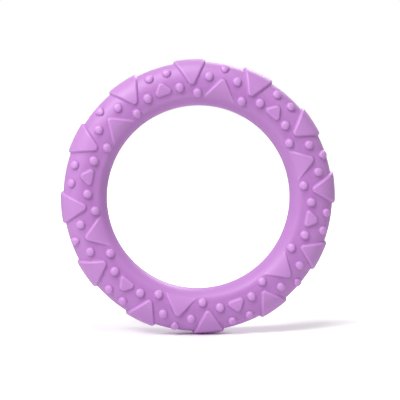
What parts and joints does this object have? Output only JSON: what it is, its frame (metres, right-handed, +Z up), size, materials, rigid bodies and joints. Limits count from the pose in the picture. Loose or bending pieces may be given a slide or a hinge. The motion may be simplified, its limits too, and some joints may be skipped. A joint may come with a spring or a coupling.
{
  "type": "dog chew ring",
  "caption": "Round moulded rubber chew ring with an oval tube, a smooth band round the hole, and raised triangles and domed nubs on both faces.",
  "frame": {"origin": "on the ground, under the middle of the ring, at the bottom centre of the part's box", "axes": "+Z up, the ring's axis along Y, the front face towards -Y"},
  "size_m": [0.16, 0.024, 0.16],
  "materials": {
    "ring_rubber": "satin orchid-purple moulded rubber, smooth, with a fine mould texture"
  },
  "bodies": {
    "root": {"ring_body": "ring_rubber", "rim_triangle_1": "ring_rubber", "rim_triangle_2": "ring_rubber", "rim_triangle_3": "ring_rubber", "rim_triangle_4": "ring_rubber", "rim_triangle_5": "ring_rubber", "rim_triangle_6": "ring_rubber", "rim_triangle_7": "ring_rubber", "rim_triangle_8": "ring_rubber", "rim_triangle_9": "ring_rubber", "rim_triangle_10": "ring_rubber", "rim_triangle_11": "ring_rubber", "rim_triangle_12": "ring_rubber", "inner_triangle_front_1": "ring_rubber", "inner_triangle_front_2": "ring_rubber", "inner_triangle_front_3": "ring_rubber", "inner_triangle_front_4": "ring_rubber", "inner_triangle_front_5": "ring_rubber", "inner_triangle_front_6": "ring_rubber", "inner_triangle_back_1": "ring_rubber", "inner_triangle_back_2": "ring_rubber", "inner_triangle_back_3": "ring_rubber", "inner_triangle_back_4": "ring_rubber", "inner_triangle_back_5": "ring_rubber", "inner_triangle_back_6": "ring_rubber", "small_triangle_front_1": "ring_rubber", "small_triangle_front_2": "ring_rubber", "small_triangle_front_3": "ring_rubber", "small_triangle_front_4": "ring_rubber", "small_triangle_front_5": "ring_rubber", "small_triangle_front_6": "ring_rubber", "small_triangle_back_1": "ring_rubber", "small_triangle_back_2": "ring_rubber", "small_triangle_back_3": "ring_rubber", "small_triangle_back_4": "ring_rubber", "small_triangle_back_5": "ring_rubber", "small_triangle_back_6": "ring_rubber", "nubs_front_1": "ring_rubber", "nubs_front_2": "ring_rubber", "nubs_front_3": "ring_rubber", "nubs_front_4": "ring_rubber", "nubs_front_5": "ring_rubber", "nubs_front_6": "ring_rubber", "nubs_back_1": "ring_rubber", "nubs_back_2": "ring_rubber", "nubs_back_3": "ring_rubber", "nubs_back_4": "ring_rubber", "nubs_back_5": "ring_rubber", "nubs_back_6": "ring_rubber"}
  },
  "joints": []
}
